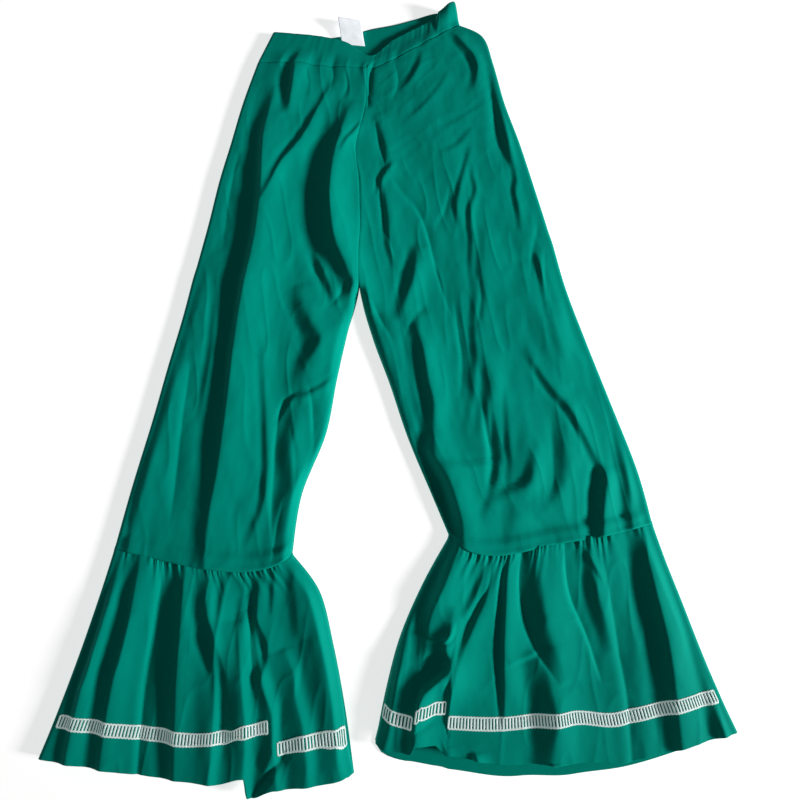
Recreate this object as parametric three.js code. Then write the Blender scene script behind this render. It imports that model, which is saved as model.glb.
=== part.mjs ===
// Ruffle trousers for a small child, laid flat with the front up.
// Millimetres: X runs across with the wearer's right leg at -X, Y runs up to the waist, Z is up.
import * as THREE from 'three';

// Cloth and seams
const WALL = 1.2;
const SEAM_GAP = 0.5;
const LEVEL = 6.4;
const LOWEST = 2.9;
const LOWEST_SOFTNESS = 0.4;
const EDGE_RADIUS = 2.5;
const EDGE_RISE = 11;
const INSEAM_TOP = 2 * WALL + SEAM_GAP;
const INSEAM_RISE = 8;
const CROTCH_Y = 43;
const CROTCH_BLEND = 16;
const BACK_RISE = 11;
const BACK_RISE_END = 0.35;
const SAG_LEAN = 0.6;
const COLUMN_LEAN = 1.3;

// Ruffles
const GATHERS = 14;
const GATHER_RISE = 0.9;
const GATHER_END = 0.45;
const HEM_LIFT = 1.2;
const BACK_HEM = 4.5;

// Waistband
const BAND_GATHERS = 11;
const BAND_GATHER_RISE = 0.45;
const BAND_LEVEL = 6.8;
const END_STAND = 4.2;
const END_REACH = 9;

// Label
const LABEL_WIDTH = 21;
const LABEL_HEIGHT = 24;
const LABEL_WALL = 1.0;
const LABEL_TILT = 0.16;
const LABEL_AT = [-40.5, 283.6];

// Middle of the laid outline, moved to the origin
const MIDDLE = [8.0, -1.6];

// Rows and columns of the surfaces
const LEG_ROWS = 27;
const LEG_FRONT = 18;
const LEG_BACK = 6;
const RUFFLE_ROWS = 8;
const RUFFLE_FRONT = 54;
const RUFFLE_BACK = 12;
const BAND_ROWS = 4;
const BAND_FRONT = 36;
const BAND_BACK = 12;
const ROLL_STEPS = 4;

// Sections down each leg, waist seam to ruffle seam: side edge, inner edge, sag of the row
const RIGHT_LEG = [
  { side_x: -112.5, side_y: 260.5, inner_x: -15.7, inner_y: 254.4, sag: 0 },
  { side_x: -123.0, side_y: 217.7, inner_x: -17.4, inner_y: 214.0, sag: 0 },
  { side_x: -130.5, side_y: 176.0, inner_x: -18.4, inner_y: 176.0, sag: 0 },
  { side_x: -137.4, side_y: 139.0, inner_x: -19.8, inner_y: 134.0, sag: 0 },
  { side_x: -143.5, side_y: 98.0, inner_x: -20.6, inner_y: 88.0, sag: 0 },
  { side_x: -152.0, side_y: 56.0, inner_x: -19.6, inner_y: 38.0, sag: 0 },
  { side_x: -160.5, side_y: 14.0, inner_x: -27.5, inner_y: 2.0, sag: 0 },
  { side_x: -168.5, side_y: -28.0, inner_x: -35.2, inner_y: -38.0, sag: 0 },
  { side_x: -176.3, side_y: -72.0, inner_x: -42.6, inner_y: -82.0, sag: 0 },
  { side_x: -186.4, side_y: -123.0, inner_x: -56.6, inner_y: -128.0, sag: -2 },
  { side_x: -194.3, side_y: -166.0, inner_x: -59.6, inner_y: -171.6, sag: -7 },
];
const LEFT_LEG = [
  { side_x: 71.5, side_y: 303.0, inner_x: -15.2, inner_y: 254.4, sag: -5 },
  { side_x: 92.4, side_y: 290.0, inner_x: -15.9, inner_y: 240.0, sag: -4 },
  { side_x: 100.6, side_y: 261.0, inner_x: -16.8, inner_y: 211.0, sag: -2 },
  { side_x: 108.2, side_y: 218.0, inner_x: -17.8, inner_y: 174.0, sag: 0 },
  { side_x: 119.0, side_y: 177.0, inner_x: -18.8, inner_y: 132.0, sag: 0 },
  { side_x: 128.6, side_y: 135.0, inner_x: -19.2, inner_y: 87.0, sag: 0 },
  { side_x: 139.6, side_y: 87.0, inner_x: -17.0, inner_y: 37.0, sag: 0 },
  { side_x: 150.5, side_y: 40.0, inner_x: -7.0, inner_y: -2.0, sag: 0 },
  { side_x: 163.4, side_y: -6.0, inner_x: 7.2, inner_y: -41.5, sag: 0 },
  { side_x: 178.5, side_y: -56.0, inner_x: 21.5, inner_y: -85.0, sag: 0 },
  { side_x: 194.5, side_y: -110.0, inner_x: 39.5, inner_y: -129.0, sag: -7 },
  { side_x: 202.0, side_y: -151.0, inner_x: 51.7, inner_y: -158.8, sag: -21 },
];

// Sections down each ruffle, seam to hem
const RIGHT_RUFFLE = [
  { side_x: -194.3, side_y: -166.0, inner_x: -59.6, inner_y: -171.6, sag: -7 },
  { side_x: -200.5, side_y: -196.0, inner_x: -38.6, inner_y: -198.0, sag: -7 },
  { side_x: -209.0, side_y: -234.0, inner_x: -28.8, inner_y: -235.0, sag: -9 },
  { side_x: -219.0, side_y: -272.0, inner_x: -21.8, inner_y: -274.0, sag: -12 },
  { side_x: -229.0, side_y: -306.0, inner_x: -15.6, inner_y: -312.6, sag: -13 },
];
const LEFT_RUFFLE = [
  { side_x: 202.0, side_y: -151.0, inner_x: 51.7, inner_y: -158.8, sag: -21 },
  { side_x: 210.0, side_y: -181.0, inner_x: 32.2, inner_y: -192.0, sag: -18 },
  { side_x: 221.0, side_y: -216.0, inner_x: 15.6, inner_y: -228.0, sag: -17 },
  { side_x: 233.0, side_y: -251.0, inner_x: 5.6, inner_y: -263.0, sag: -19 },
  { side_x: 245.0, side_y: -286.0, inner_x: -1.6, inner_y: -297.4, sag: -21 },
];

// Stations along the waistband's upper edge, wearer's right end to left end: front edge and back edge
const BAND = [
  { front_x: -99.4, front_y: 293.2, back_x: -99.4, back_y: 293.6 },
  { front_x: -77.0, front_y: 291.0, back_x: -77.0, back_y: 290.6 },
  { front_x: -58.0, front_y: 288.4, back_x: -58.0, back_y: 290.8 },
  { front_x: -34.0, front_y: 282.2, back_x: -34.0, back_y: 295.0 },
  { front_x: -11.4, front_y: 268.6, back_x: -11.4, back_y: 302.0 },
  { front_x: 9.4, front_y: 286.0, back_x: 9.4, back_y: 306.6 },
  { front_x: 29.0, front_y: 298.0, back_x: 30.0, back_y: 313.0 },
  { front_x: 49.4, front_y: 305.6, back_x: 49.4, back_y: 319.4 },
  { front_x: 66.6, front_y: 318.6, back_x: 66.6, back_y: 321.0 },
];

// Folds of the front: crest line, rise at the crest, reach of its left and right slopes,
// depth and reach of the hollow on its left
const FOLDS = [
  { path: [[-101, 212], [-104, 150], [-105, 80], [-113, 20], [-118, -60], [-125, -150]],
    rise: 3.6, left: 7, right: 18, hollow: 2.8, reach: 13 },
  { path: [[-31, 205], [-40, 155], [-43, 120], [-36, 82], [-26, 46]],
    rise: 4.4, left: 8, right: 15, hollow: 3.0, reach: 17 },
  { path: [[-81, 264], [-79, 249], [-82, 226], [-86, 205]],
    rise: 2.5, left: 6, right: 10, hollow: 2.5, reach: 9 },
  { path: [[-61, 24], [-48, -6], [-58, -32], [-66, -58]],
    rise: 3.2, left: 7, right: 12, hollow: 2.4, reach: 12 },
  { path: [[-67, -66], [-68, -96], [-67, -120], [-76, -164]],
    rise: 2.8, left: 6, right: 12, hollow: 2.6, reach: 10 },
  { path: [[30, 14], [37, -30], [41, -60], [43, -106]],
    rise: 3.2, left: 6, right: 12, hollow: 2.6, reach: 11 },
  { path: [[30, 92], [28, 60], [27, 26]],
    rise: 2.0, left: 6, right: 10, hollow: 1.4, reach: 9 },
  { path: [[80, 145], [79, 98], [81, 20], [86, -60], [87, -112]],
    rise: 2.2, left: 6, right: 12, hollow: 2.0, reach: 9 },
  { path: [[113, -16], [136, -50], [153, -82], [163, -106]],
    rise: 2.0, left: 6, right: 10, hollow: 1.6, reach: 9 },
  { path: [[131, 44], [143, -16], [146, -62]],
    rise: 2.2, left: 10, right: 14, hollow: 1.6, reach: 16 },
  { path: [[149, -70], [142, -96], [138, -115], [126, -142]],
    rise: 2.4, left: 6, right: 10, hollow: 2.2, reach: 10 },
  { path: [[119, -94], [113, -118], [99, -130], [80, -144]],
    rise: 1.8, left: 6, right: 8, hollow: 1.2, reach: 8 },
  { path: [[42, -100], [56, -130], [68, -160]],
    rise: 3.2, left: 8, right: 12, hollow: 2.4, reach: 13 },
  { path: [[-4, 156], [-4, 130], [4, 104], [10, 62]],
    rise: 2.0, left: 6, right: 9, hollow: 1.4, reach: 8 },
  { path: [[64, 290], [75, 268], [77, 238]],
    rise: 2.2, left: 6, right: 8, hollow: 1.8, reach: 8 },
  { path: [[97, 250], [101, 210], [111, 156], [118, 88]],
    rise: 2.2, left: 6, right: 9, hollow: 1.8, reach: 9 },
  { path: [[-9, 262], [-10, 228], [-13, 190]],
    rise: 1.8, left: 6, right: 8, hollow: 1.6, reach: 7 },
];

// Waves of the ruffles: crest line from the seam down to the hem, with the same columns
const WAVES = [
  { path: [[-56, -178], [-50, -215], [-40, -260], [-34, -330]], rise: 2.6, left: 6, right: 9, hollow: 1.8, reach: 9 },
  { path: [[-68, -172], [-66, -205], [-58, -250], [-52, -330]], rise: 2.0, left: 6, right: 8, hollow: 1.6, reach: 8 },
  { path: [[-80, -172], [-79, -205], [-73, -240], [-70, -330]], rise: 3.6, left: 6, right: 9, hollow: 2.4, reach: 10 },
  { path: [[-99, -172], [-99, -205], [-102, -245], [-104, -335]], rise: 3.6, left: 6, right: 9, hollow: 2.4, reach: 10 },
  { path: [[-120, -170], [-122, -215], [-128, -260], [-132, -335]], rise: 3.2, left: 7, right: 10, hollow: 2.2, reach: 11 },
  { path: [[-143, -168], [-149, -215], [-158, -260], [-166, -330]], rise: 3.2, left: 7, right: 10, hollow: 2.2, reach: 11 },
  { path: [[-168, -164], [-178, -215], [-190, -260], [-202, -325]], rise: 3.0, left: 7, right: 10, hollow: 2.0, reach: 11 },
  { path: [[52, -180], [40, -225], [39, -270], [37, -320]], rise: 4.4, left: 7, right: 10, hollow: 2.4, reach: 11 },
  { path: [[76, -178], [66, -215], [58, -260], [58, -320]], rise: 2.4, left: 6, right: 8, hollow: 1.6, reach: 8 },
  { path: [[89, -176], [80, -210], [74, -255], [74, -325]], rise: 3.4, left: 6, right: 8, hollow: 2.4, reach: 9 },
  { path: [[101, -174], [96, -210], [93, -250], [95, -325]], rise: 3.4, left: 6, right: 9, hollow: 2.4, reach: 9 },
  { path: [[115, -172], [117, -210], [125, -250], [133, -325]], rise: 4.4, left: 7, right: 11, hollow: 3.0, reach: 12 },
  { path: [[140, -168], [145, -205], [156, -245], [166, -320]], rise: 3.6, left: 7, right: 10, hollow: 2.4, reach: 11 },
  { path: [[162, -164], [171, -205], [184, -245], [196, -315]], rise: 3.2, left: 7, right: 10, hollow: 2.2, reach: 11 },
  { path: [[184, -160], [196, -205], [210, -245], [222, -305]], rise: 2.8, left: 7, right: 9, hollow: 2.0, reach: 10 },
];

// Small helpers
function clamp01(t) {
  return Math.min(Math.max(t, 0), 1);
}

function ease(t) {
  const c = clamp01(t);
  return c * c * (3 - 2 * c);
}

function round(t) {
  const c = 1 - clamp01(t);
  return Math.sqrt(1 - c * c);
}

function bell(t) {
  return Math.exp(-t * t);
}

function mix(a, b, t) {
  return a + (b - a) * t;
}

// Row of a table at a fraction of its length, smooth through every row
function sectionAt(table, t) {
  const last = table.length - 1;
  const place = clamp01(t) * last;
  const i = Math.min(Math.floor(place), last - 1);
  const f = place - i;
  const a = table[Math.max(i - 1, 0)];
  const b = table[i];
  const c = table[i + 1];
  const d = table[Math.min(i + 2, last)];
  const out = {};
  for (const name of Object.keys(b)) {
    const slope = c[name] - a[name];
    const bend = 2 * a[name] - 5 * b[name] + 4 * c[name] - d[name];
    const twist = 3 * (b[name] - c[name]) + d[name] - a[name];
    out[name] = b[name] + 0.5 * f * (slope + f * (bend + f * twist));
  }
  return out;
}

// Signed distance from a crest line, positive on its right going down, and the fraction along it
function crestDistance(path, x, y) {
  let best = { away: Infinity, side: 1, along: 0 };
  for (let i = 0; i < path.length - 1; i += 1) {
    const [ax, ay] = path[i];
    const dx = path[i + 1][0] - ax;
    const dy = path[i + 1][1] - ay;
    const t = clamp01(((x - ax) * dx + (y - ay) * dy) / (dx * dx + dy * dy));
    const away = Math.hypot(x - ax - t * dx, y - ay - t * dy);
    if (away < best.away) {
      const side = dx * (y - ay) - dy * (x - ax) < 0 ? -1 : 1;
      best = { away, side, along: (i + t) / (path.length - 1) };
    }
  }
  return best;
}

// Height that one table of folds adds at a point
function relief(table, x, y, open) {
  let z = 0;
  for (const fold of table) {
    const { away, side, along } = crestDistance(fold.path, x, y);
    const start = ease(along / 0.2);
    const end = open ? 1 : ease((1 - along) / 0.2);
    const slope = side < 0 ? fold.left : fold.right;
    const hollow = bell((side * away + fold.reach) / (0.55 * fold.reach));
    z += start * end * (fold.rise * bell(away / slope) - fold.hollow * hollow);
  }
  return z;
}

// Keeps the front layer clear of the back layer
function settle(z) {
  const over = z - LOWEST;
  return LOWEST + 0.5 * (over + Math.sqrt(over * over + LOWEST_SOFTNESS));
}

// Plan point of a row between its inner edge and the centre of its rolled side edge
function planPoint(section, across, isBack) {
  const length = Math.hypot(section.side_x - section.inner_x, section.side_y - section.inner_y);
  const reach = across * (1 - EDGE_RADIUS / length);
  const sag = isBack ? 0 : section.sag * Math.sin(Math.PI * clamp01(across) ** SAG_LEAN);
  return [mix(section.inner_x, section.side_x, reach), mix(section.inner_y, section.side_y, reach) + sag, length];
}

function rowDirection(section, across, isBack) {
  const a = planPoint(section, Math.max(across - 0.02, 0), isBack);
  const b = planPoint(section, Math.min(across + 0.02, 1), isBack);
  const size = Math.hypot(b[0] - a[0], b[1] - a[1]);
  return [(b[0] - a[0]) / size, (b[1] - a[1]) / size];
}

// Height of the level cloth between a rolled side edge and an inner edge that is sewn below the crotch
function layHeight(length, across, sewn, level) {
  const side = ease((1 - across) * length / EDGE_RISE);
  const inner = round(across * length / INSEAM_RISE);
  const high = mix(2 * EDGE_RADIUS, level, side);
  return mix(high, mix(INSEAM_TOP, high, inner), sewn);
}

function edgeMask(length, across, sewn) {
  const side = ease((1 - across) * length / (1.6 * EDGE_RISE));
  const inner = ease(across * length / (1.5 * INSEAM_RISE));
  return side * mix(1, inner, sewn);
}

function legFront(table, down, across) {
  const section = sectionAt(table, down);
  const [x, y, length] = planPoint(section, across, false);
  const sewn = ease((CROTCH_Y - section.inner_y) / CROTCH_BLEND);
  const top = edgeMask(length, across, sewn) * relief(FOLDS, x, y, false);
  return new THREE.Vector3(x, y, settle(layHeight(length, across, sewn, LEVEL) + top));
}

function ruffleFront(table, down, across) {
  const section = sectionAt(table, down);
  const [x, y, length] = planPoint(section, across, false);
  const gather = GATHER_RISE * ease(1 - down / GATHER_END) * Math.cos(2 * Math.PI * GATHERS * across);
  const swell = mix(0.35, 1, ease(down / 0.5)) * relief(WAVES, x, y, true);
  const top = edgeMask(length, across, 1) * (gather + swell);
  return new THREE.Vector3(x, y, settle(layHeight(length, across, 1, LEVEL + HEM_LIFT * down) + top));
}

function legBackShift(down, across) {
  return BACK_RISE * (1 - across) * (1 - ease(down / BACK_RISE_END));
}

function ruffleBackShift(down, across) {
  return -BACK_HEM * ease(down) * Math.sin(Math.PI * across) ** 2;
}

// One row of a laid tube: front from the inner edge out, round the side edge, back under to the inner edge
function tubeRow(table, down, front, backShift, frontCount, backCount, shift) {
  const section = sectionAt(table, down);
  const points = [];
  const directions = [];
  for (let i = 0; i <= frontCount; i += 1) {
    const across = (i / frontCount) ** COLUMN_LEAN;
    points.push(front(table, down, across));
    directions.push(rowDirection(section, across, false));
  }
  const edge = points[frontCount];
  const out = directions[frontCount];
  for (let i = 1; i < ROLL_STEPS; i += 1) {
    const angle = Math.PI * (0.5 - i / ROLL_STEPS);
    const reach = EDGE_RADIUS * Math.cos(angle);
    const z = EDGE_RADIUS * (1 + Math.sin(angle));
    points.push(new THREE.Vector3(edge.x + reach * out[0], edge.y + reach * out[1], z));
    directions.push(out);
  }
  for (let i = backCount; i >= 0; i -= 1) {
    const across = i / backCount;
    const [x, y] = planPoint(section, across, true);
    points.push(new THREE.Vector3(x, y + backShift(down, across), 0));
    directions.push(rowDirection(section, across, true));
  }
  for (const point of points) {
    point.x -= MIDDLE[0];
    point.y -= MIDDLE[1] - shift;
  }
  return { points, directions };
}

// Inside of the wall, set off square to the row so that the seam ends stay upright
function insideRow(row, wall, closed) {
  const count = row.points.length;
  return row.points.map((point, i) => {
    const ends = !closed && (i === 0 || i === count - 1);
    const before = row.points[closed ? (i + count - 1) % count : Math.max(i - 1, 0)];
    const after = row.points[closed ? (i + 1) % count : Math.min(i + 1, count - 1)];
    const [ex, ey] = row.directions[i];
    const run = (after.x - before.x) * ex + (after.y - before.y) * ey;
    const rise = ends ? 0 : after.z - before.z;
    const size = Math.hypot(run, rise);
    const side = wall * rise / size;
    return new THREE.Vector3(point.x + side * ex, point.y + side * ey, point.z - wall * run / size);
  });
}

// Closed body between the outside and inside rows
function wallBody(rows, wall, closed) {
  const outside = rows.map((row) => row.points);
  const inside = rows.map((row) => insideRow(row, wall, closed));
  const count = outside[0].length;
  const faces = [];
  const quad = (a, b, c, d) => {
    faces.push(a, b, c, a, c, d);
  };
  const at = (layer, r, c) => (layer * rows.length + r) * count + (c % count);
  const lastColumn = closed ? count : count - 1;
  for (let r = 0; r < rows.length - 1; r += 1) {
    for (let c = 0; c < lastColumn; c += 1) {
      quad(at(0, r, c), at(0, r, c + 1), at(0, r + 1, c + 1), at(0, r + 1, c));
      quad(at(1, r + 1, c), at(1, r + 1, c + 1), at(1, r, c + 1), at(1, r, c));
    }
  }
  const end = rows.length - 1;
  for (let c = 0; c < lastColumn; c += 1) {
    quad(at(1, 0, c), at(1, 0, c + 1), at(0, 0, c + 1), at(0, 0, c));
    quad(at(0, end, c), at(0, end, c + 1), at(1, end, c + 1), at(1, end, c));
  }
  if (!closed) {
    for (let r = 0; r < end; r += 1) {
      quad(at(0, r, 0), at(0, r + 1, 0), at(1, r + 1, 0), at(1, r, 0));
      quad(at(1, r, count - 1), at(1, r + 1, count - 1), at(0, r + 1, count - 1), at(0, r, count - 1));
    }
  }
  const places = [...outside.flat(), ...inside.flat()].flatMap((p) => [p.x, p.y, p.z]);
  return outwardGeometry(places, faces);
}

// Geometry with its faces turned outwards
function outwardGeometry(places, faces) {
  const corner = (i) => new THREE.Vector3(places[3 * i], places[3 * i + 1], places[3 * i + 2]);
  let volume = 0;
  for (let i = 0; i < faces.length; i += 3) {
    volume += corner(faces[i]).dot(corner(faces[i + 1]).cross(corner(faces[i + 2])));
  }
  const turned = volume < 0 ? faces.slice().reverse() : faces;
  const geometry = new THREE.BufferGeometry();
  geometry.setAttribute('position', new THREE.Float32BufferAttribute(places, 3));
  geometry.setIndex(turned);
  geometry.computeVertexNormals();
  return geometry;
}

function legBody(table) {
  const rows = [];
  for (let r = 0; r <= LEG_ROWS; r += 1) {
    rows.push(tubeRow(table, r / LEG_ROWS, legFront, legBackShift, LEG_FRONT, LEG_BACK, 0));
  }
  return wallBody(rows, WALL, false);
}

function ruffleBody(table) {
  const rows = [];
  for (let r = 0; r <= RUFFLE_ROWS; r += 1) {
    const down = r / RUFFLE_ROWS;
    rows.push(tubeRow(table, down, ruffleFront, ruffleBackShift, RUFFLE_FRONT, RUFFLE_BACK, -SEAM_GAP));
  }
  return wallBody(rows, WALL, false);
}

// Point of the waist seam, half of the way along on each leg
function waistPoint(along, isBack) {
  const table = along < 0.5 ? RIGHT_LEG : LEFT_LEG;
  const across = Math.abs(2 * along - 1);
  const [x, y] = planPoint(sectionAt(table, 0), across, isBack);
  const shift = isBack ? legBackShift(0, across) : 0;
  return [x, y + shift + SEAM_GAP, isBack ? 0 : legFront(table, 0, across).z];
}

// Plan point of the waistband at a fraction along it and up it
function bandPlan(along, up, isBack) {
  const [x, y] = waistPoint(along, isBack);
  const s = sectionAt(BAND, along);
  const inset = EDGE_RADIUS * (1 - 2 * along);
  const top = isBack ? [s.back_x + inset, s.back_y] : [s.front_x + inset, s.front_y];
  return [mix(x, top[0], up), mix(y, top[1], up)];
}

function bandDirection(along, up, isBack) {
  const a = bandPlan(Math.max(along - 0.02, 0), up, isBack);
  const b = bandPlan(Math.min(along + 0.02, 1), up, isBack);
  const size = Math.hypot(b[0] - a[0], b[1] - a[1]);
  return [(b[0] - a[0]) / size, (b[1] - a[1]) / size];
}

// Waistband row: front across, round the wearer's left end, back under, round the right end
function bandRow(up) {
  const points = [];
  const directions = [];
  const leftHalf = EDGE_RADIUS + END_STAND * ease(up);
  for (let i = 0; i <= BAND_FRONT; i += 1) {
    const along = i / BAND_FRONT;
    const [x, y] = bandPlan(along, up, false);
    const near = ease(Math.min(along, 1 - along) * END_REACH);
    const end = along < 0.5 ? 2 * EDGE_RADIUS : 2 * leftHalf;
    const ripple = BAND_GATHER_RISE * Math.cos(2 * Math.PI * BAND_GATHERS * along);
    const top = mix(end, BAND_LEVEL + ripple, near);
    points.push(new THREE.Vector3(x, y, mix(waistPoint(along, false)[2], top, ease(up * 1.6))));
    directions.push(bandDirection(along, up, false));
  }
  addRoll(points, directions, leftHalf, 1);
  for (let i = BAND_BACK; i >= 0; i -= 1) {
    const along = i / BAND_BACK;
    const [x, y] = bandPlan(along, up, true);
    points.push(new THREE.Vector3(x, y, 0));
    directions.push(bandDirection(along, up, true));
  }
  addRoll(points, directions, EDGE_RADIUS, -1);
  for (const point of points) {
    point.x -= MIDDLE[0];
    point.y -= MIDDLE[1];
  }
  return { points, directions };
}

function addRoll(points, directions, half, sense) {
  const start = points[points.length - 1];
  const out = directions[directions.length - 1];
  for (let i = 1; i < ROLL_STEPS; i += 1) {
    const angle = Math.PI * (0.5 - i / ROLL_STEPS) * sense;
    const reach = EDGE_RADIUS * Math.cos(angle) * sense;
    points.push(new THREE.Vector3(start.x + reach * out[0], start.y + reach * out[1], half * (1 + Math.sin(angle))));
    directions.push(out);
  }
}

function bandBody() {
  const rows = [];
  for (let r = 0; r <= BAND_ROWS; r += 1) {
    rows.push(bandRow(r / BAND_ROWS));
  }
  return wallBody(rows, WALL, true);
}

// Label: a flat slip that leans up from the inside of the back waistband
function labelBody() {
  const geometry = new THREE.BoxGeometry(LABEL_WIDTH, LABEL_HEIGHT, LABEL_WALL, 4, 5, 1);
  geometry.translate(LABEL_WIDTH / 2, LABEL_HEIGHT / 2, LABEL_WALL / 2);
  geometry.rotateX(LABEL_TILT);
  geometry.rotateZ(-0.06);
  geometry.translate(LABEL_AT[0] - MIDDLE[0], LABEL_AT[1] - MIDDLE[1], WALL + SEAM_GAP);
  return geometry;
}

// Pieces
const group = new THREE.Group();
const cloth = { color: 0x0f8f78, roughness: 0.85, metalness: 0 };
const slip = { color: 0xf2f2f4, roughness: 0.6, metalness: 0 };
const pieces = [
  ['leg_right', legBody(RIGHT_LEG), cloth],
  ['leg_left', legBody(LEFT_LEG), cloth],
  ['ruffle_right', ruffleBody(RIGHT_RUFFLE), cloth],
  ['ruffle_left', ruffleBody(LEFT_RUFFLE), cloth],
  ['waistband', bandBody(), cloth],
  ['label', labelBody(), slip],
];
for (const [name, geometry, finish] of pieces) {
  const mesh = new THREE.Mesh(geometry, new THREE.MeshStandardMaterial(finish));
  mesh.name = name;
  group.add(mesh);
}

export default group;
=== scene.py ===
"""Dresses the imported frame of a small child's ruffle trousers, laid flat with the front up."""
import math
from collections import namedtuple

import bpy
import numpy as np
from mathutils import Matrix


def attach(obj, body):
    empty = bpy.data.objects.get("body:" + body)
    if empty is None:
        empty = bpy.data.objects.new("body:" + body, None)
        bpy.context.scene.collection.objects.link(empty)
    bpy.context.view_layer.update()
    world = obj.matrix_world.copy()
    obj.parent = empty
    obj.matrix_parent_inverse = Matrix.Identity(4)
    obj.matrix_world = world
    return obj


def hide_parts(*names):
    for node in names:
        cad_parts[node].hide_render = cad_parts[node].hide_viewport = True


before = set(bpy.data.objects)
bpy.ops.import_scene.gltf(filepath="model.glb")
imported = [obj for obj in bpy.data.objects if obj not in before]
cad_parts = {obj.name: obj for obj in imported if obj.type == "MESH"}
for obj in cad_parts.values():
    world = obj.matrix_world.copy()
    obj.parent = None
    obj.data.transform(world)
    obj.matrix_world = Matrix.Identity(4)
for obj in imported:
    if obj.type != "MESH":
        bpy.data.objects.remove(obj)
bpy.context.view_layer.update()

bl_info = {
    "name": "Ruffle Trousers",
    "version": (1, 0, 0),
    "blender": (4, 5, 0),
    "location": "3D View > Sidebar > Trousers",
    "description": "Laid-flat child's trousers with gathered ruffles and ladder-stitched hems",
    "category": "Object",
}

MM = 0.001

# Middle of the tables' outline, moved to the frame's origin (mm)
MIDDLE = (8.0, -1.6)

# Camera of the photograph: its place (mm, as the tables), tilt, half angle of view, half frame (pixels),
# and the height at which it sees the folds (mm)
EYE = (15, -182, 476)
TILT = math.radians(15)
HALF_VIEW = math.radians(32.5)
HALF_FRAME = 400
FOLD_HEIGHT = 8.0

# Laid legs and ruffles (mm)
INSEAM_TOP = 2.9  # height of the front where the inseam holds it
INSEAM_RISE = 8  # how far in from the inseam it has climbed to the level front
CROTCH_Y = 43  # where the inseam begins
CROTCH_BLEND = 16  # how far below that it is fully closed
LAP = 0.95  # how far inner edges pass their line above the crotch
LAP_LOSS = 0.6  # how much less they pass it where they are sewn
EDGE_RISE = 11  # how far in from the side edge the front is level
SIDE_FADE = 9  # how far in from the side edge folds are full
INSEAM_FADE = 6  # how far in from the inseam folds are full
BACK_RISE = 11  # how much higher the back's waist seam lies at the centre
STITCH_DOWN = 0.81  # the ladder stitch's place down a ruffle (fraction)
RUFFLE_DROP = 134  # drop of a ruffle

# Sewing marks on the legs (mm)
PUCKER_RISE = 0.4
PUCKER_SIZE = 3.4
HALF_WAIST = 97
LEG_RUN = 335  # drop of a leg
ALLOWANCE = 11

# Waistband (mm, places along it as fractions from the wearer's right end)
SEAM_GAP = 0.3
SEAM_DENT = 0.6
BAND_LEVEL = 6.8
BAND_DIP = 1.4  # how far the front's upper edge sinks between its ends
END_STAND = 4.2  # how much wider the wearer's left end stands open
FLAP_AT = 0.872  # where the upstanding end begins
FLAP_STAND = 4.5
FLAP_REACH = 2.0

# Care label (mm)
LABEL_WIDTH = 21
LABEL_HEIGHT = 24
LABEL_AT = (-38.4, 284.6)
LABEL_FOOT = 2.1
LABEL_STAND = 3.8
LABEL_TWIST = 3.0
LABEL_BOW = 0.7
LABEL_CREASE = 0.9

# Ladder stitch (mm): height of a thread's foot and its rise above that, step along a side thread
RUNG = (0.1, 0.42)
RAIL = (0.12, 0.4)
RAIL_STEP = 0.55
THREAD_SIDES = np.array([-1, -0.5, 0.5, 1])

# Points on each surface: rows, then across the front, round the side edge and across the back
LEG_POINTS = (190, 200, 8, 14)
RUFFLE_POINTS = (110, 260, 8, 60)
BAND_POINTS = (20, 200, 10, 80)

# Floor and key light (m)
FLOOR_HALF = 6.0
FLOOR_DROP = 0.0003
KEY_PLACE = (2.2, -0.58, 0.86)
KEY_AIM = (0.0, 0.04, 0.0)

Section = namedtuple("Section", "side_x side_y inner_x inner_y sag")
Fold = namedtuple("Fold", "path rise left right hollow reach")
Crease = namedtuple("Crease", "path depth left right")
BandStation = namedtuple("BandStation", "front_x front_y back_x back_y")
HemStep = namedtuple("HemStep", "across stitch edge back")
Ripple = namedtuple("Ripple", "amount lean stretch size seed")
Ruffle = namedtuple("Ruffle", "side sections hem lean stitch")


def table(kind, rows):
    return [kind(*row) for row in rows]


# Sections down each leg, waist seam to ruffle seam (mm)
RIGHT_LEG = table(Section, [
    (-115.5, 260.5, -15.7, 254.4, 0),
    (-126, 217.7, -17.4, 214, 0),
    (-133.8, 176, -18.4, 176, 0),
    (-141, 139, -19.8, 134, 0),
    (-147, 98, -20.6, 88, 0),
    (-154, 56, -19.6, 38, 0),
    (-160.5, 14, -27.5, 2, 0),
    (-168.5, -28, -35.2, -38, 0),
    (-176.3, -72, -42.6, -82, 0),
    (-186.4, -123, -59.2, -128, -4),
    (-194.3, -169, -64.6, -171.6, -14),
])
LEFT_LEG = table(Section, [
    (71.5, 303, -15.2, 254.4, -5),
    (92.4, 290, -15.9, 240, -4),
    (100.6, 261, -16.8, 211, -2),
    (109.2, 218, -17.8, 174, 0),
    (120.5, 177, -18.8, 132, 0),
    (130.4, 135, -19.2, 87, 0),
    (141.2, 87, -17, 37, 0),
    (150.5, 40, -7, -2, 0),
    (163.4, -6, 7.2, -41.5, 0),
    (178.5, -56, 21.5, -85, 0),
    (194.5, -110, 39.5, -129, -7),
    (202, -151, 51.7, -158.8, -18.5),
])

# Sections down each ruffle, seam to hem (mm)
RIGHT_RUFFLE = table(Section, [
    (-194.3, -169, -64.6, -171.6, -14),
    (-200.5, -199, -43.6, -198, -12),
    (-209, -235, -32.4, -235, -11),
    (-219, -272, -23.6, -274, -12),
    (-229, -306, -16.4, -315.4, -11.5),
])
LEFT_RUFFLE = table(Section, [
    (202, -151, 51.7, -158.8, -18.5),
    (210, -181, 32.2, -192, -18),
    (221, -216, 15.6, -228, -17),
    (233, -251, 5.6, -263, -19),
    (245, -286, -1.6, -297.4, -21),
])

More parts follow.
